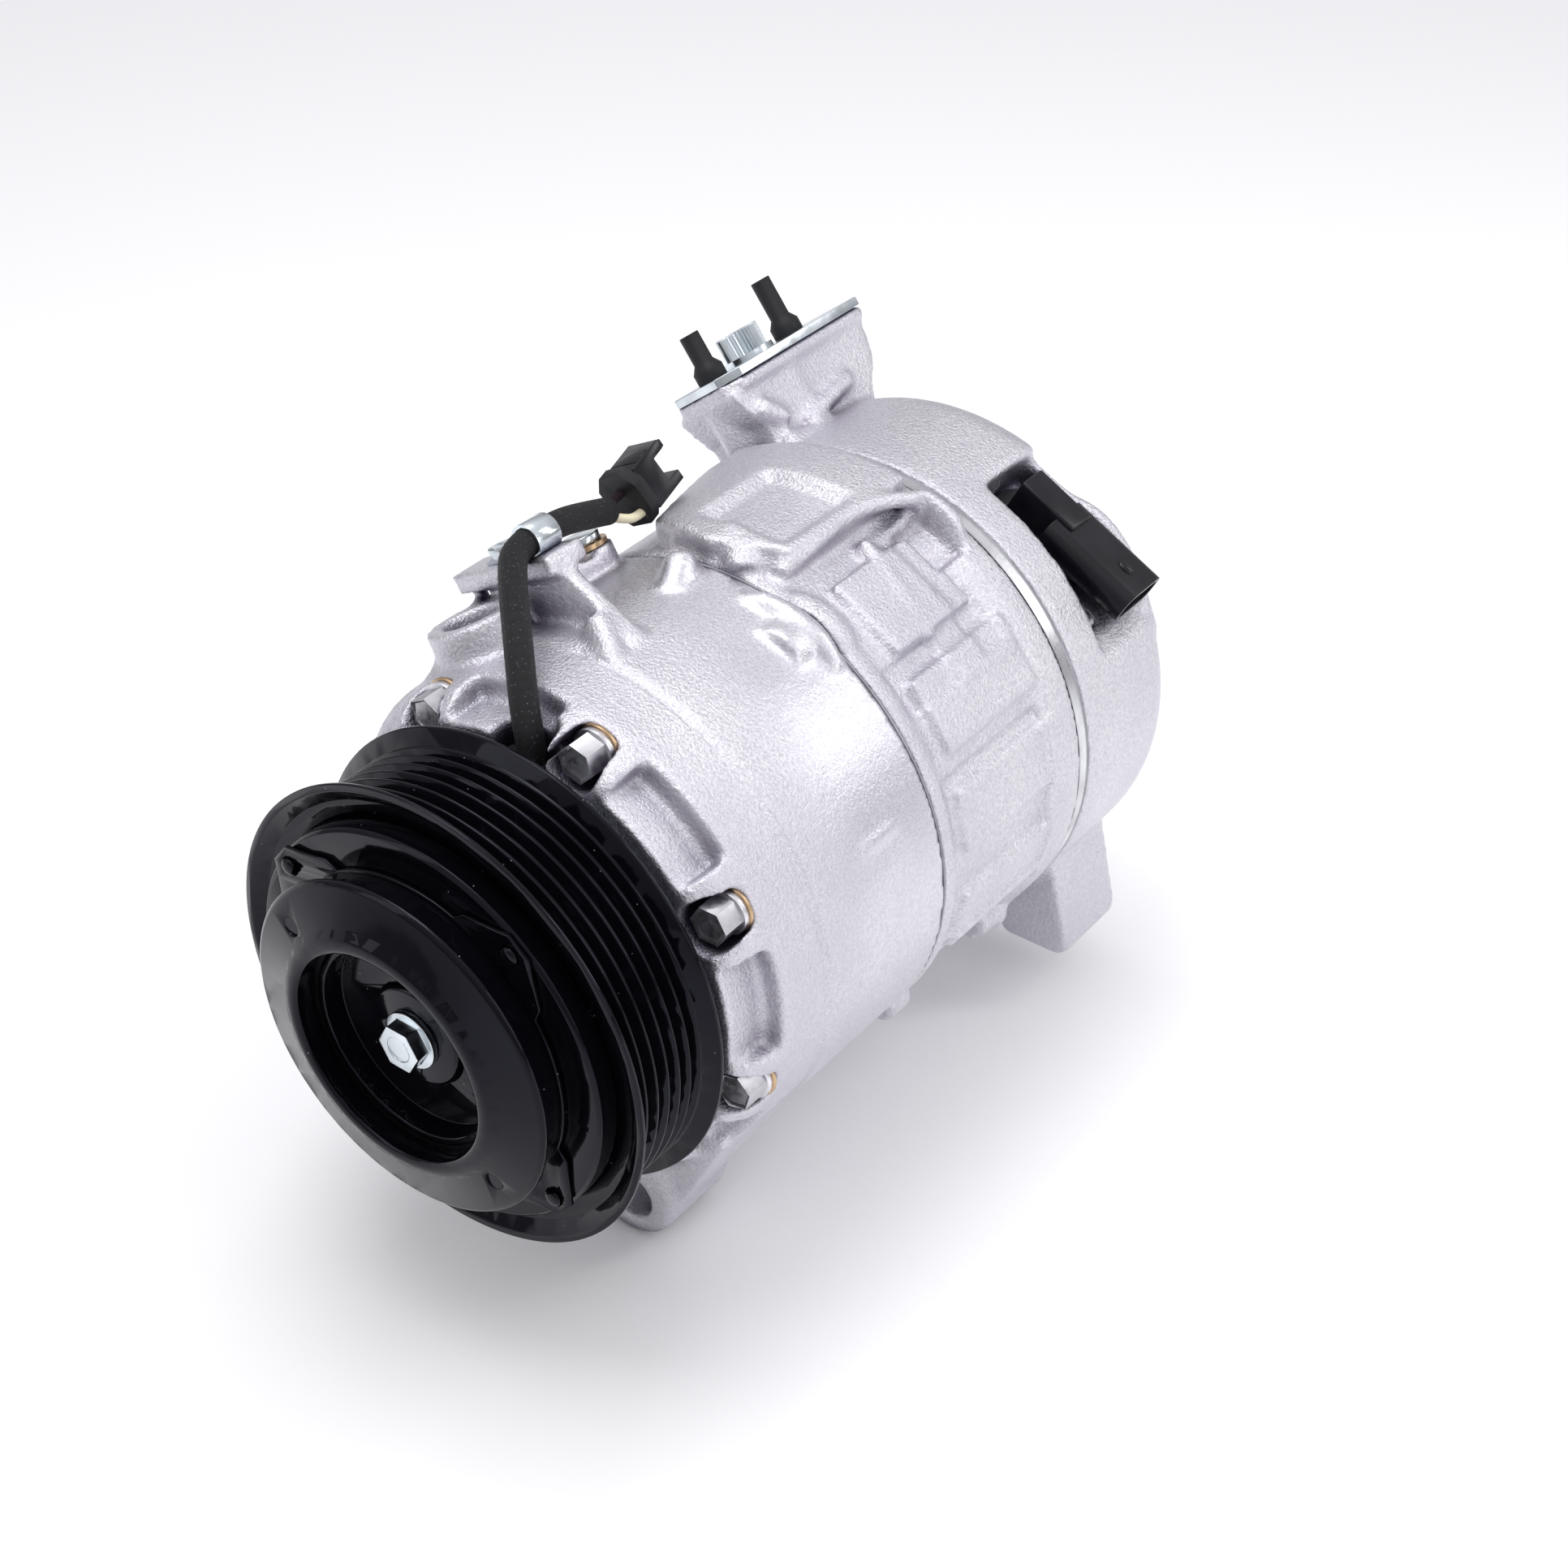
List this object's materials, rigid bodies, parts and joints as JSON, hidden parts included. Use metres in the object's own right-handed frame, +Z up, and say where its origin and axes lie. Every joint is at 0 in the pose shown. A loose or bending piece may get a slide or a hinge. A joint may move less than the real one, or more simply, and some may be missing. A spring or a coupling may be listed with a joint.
{
  "type": "automotive ac compressor",
  "caption": "Variable swash-plate air-conditioning compressor with a ribbed belt pulley, an electromagnetic clutch, cast mounting ears, a capped port block and a control valve.",
  "frame": {"origin": "on the shaft axis, in the middle of the belt grooves", "axes": "+Y along the shaft from the pulley to the rear cover, +Z up, +X to the right as seen from the pulley"},
  "size_m": [0.129, 0.2316, 0.1646],
  "materials": {
    "cast_aluminium": "sand cast and shot blasted, satin",
    "turned_aluminium": "turned",
    "black_steel": "gloss black coating",
    "zinc_steel": "bright zinc plate",
    "bolt_steel": "grey zinc plate",
    "machined_steel": "machined",
    "bearing_steel": "ground",
    "spring_steel": "oiled dark steel",
    "copper": "plain copper",
    "contact_brass": "tinned",
    "black_rubber": "matt moulded",
    "gasket_grey": "coated sheet",
    "black_plastic": "moulded, satin",
    "potting_plastic": "cast resin",
    "dark_insulation": "extruded",
    "light_insulation": "extruded",
    "braided_sleeve": "braided sleeve"
  },
  "bodies": {
    "housing": {"pulley_bearing_inner_race": "bearing_steel", "snout_snap_rings": "spring_steel", "coil_shell": "zinc_steel", "coil_winding": "potting_plastic", "coil_plate": "zinc_steel", "coil_lead_grommet": "black_rubber", "coil_lead_sleeve": "braided_sleeve", "coil_lead_wire_dark": "dark_insulation", "coil_lead_wire_light": "light_insulation", "lead_connector_seal": "black_rubber", "lead_connector": "black_plastic", "lead_clamp": "zinc_steel", "clamp_screw": "zinc_steel", "thrust_race": "bearing_steel", "pistons": "turned_aluminium", "piston_shoes": "bearing_steel", "needle_bearings": "bearing_steel", "shaft_seal": "black_rubber", "seal_snap_ring": "spring_steel", "front_housing": "cast_aluminium", "front_gasket": "gasket_grey", "cylinder_block": "cast_aluminium", "suction_reed_plate": "spring_steel", "valve_plate": "machined_steel", "discharge_reed_plate": "spring_steel", "retainer_gasket": "gasket_grey", "rear_housing": "cast_aluminium", "through_bolts": "bolt_steel", "sealing_washers": "copper", "drain_plug": "zinc_steel", "drain_plug_washer": "copper", "port_cover_plate": "zinc_steel", "port_caps": "black_rubber", "port_screw": "zinc_steel", "control_valve": "machined_steel", "valve_snap_ring": "spring_steel", "valve_connector": "black_plastic", "valve_connector_pins": "contact_brass"},
    "pulley": {"clutch_pulley": "black_steel", "pulley_bearing_outer_race": "bearing_steel", "pulley_bearing_balls": "bearing_steel", "pulley_bearing_seals": "black_rubber", "bearing_snap_ring": "spring_steel"},
    "shaft": {"clutch_hub": "black_steel", "hub_shim": "zinc_steel", "hub_bolt": "zinc_steel", "hub_damper": "black_rubber", "front_plate": "black_steel", "front_plate_rivets": "black_steel", "leaf_spring": "black_steel", "drive_shaft": "machined_steel", "shaft_clip": "spring_steel", "thrust_rollers": "bearing_steel", "lug_plate": "machined_steel", "hinge_pin": "bearing_steel", "swash_plate": "machined_steel", "start_spring": "spring_steel", "return_spring": "spring_steel"},
    "armature": {"armature": "black_steel", "armature_rivets": "black_steel"}
  },
  "joints": [
    {"name": "pulley_spin", "type": "hinge", "parent": "housing", "child": "pulley", "pos_m": [0, 0, 0], "axis": [0, 1, 0], "continuous": true},
    {"name": "shaft_spin", "type": "hinge", "parent": "housing", "child": "shaft", "pos_m": [0, 0.05, 0], "axis": [0, 1, 0], "continuous": true},
    {"name": "armature_pull", "type": "slide", "parent": "shaft", "child": "armature", "axis": [0, 1, 0], "range_m": [0, 0.0005], "stiffness_N_per_m": 20000, "deforming": ["leaf_spring"]}
  ]
}
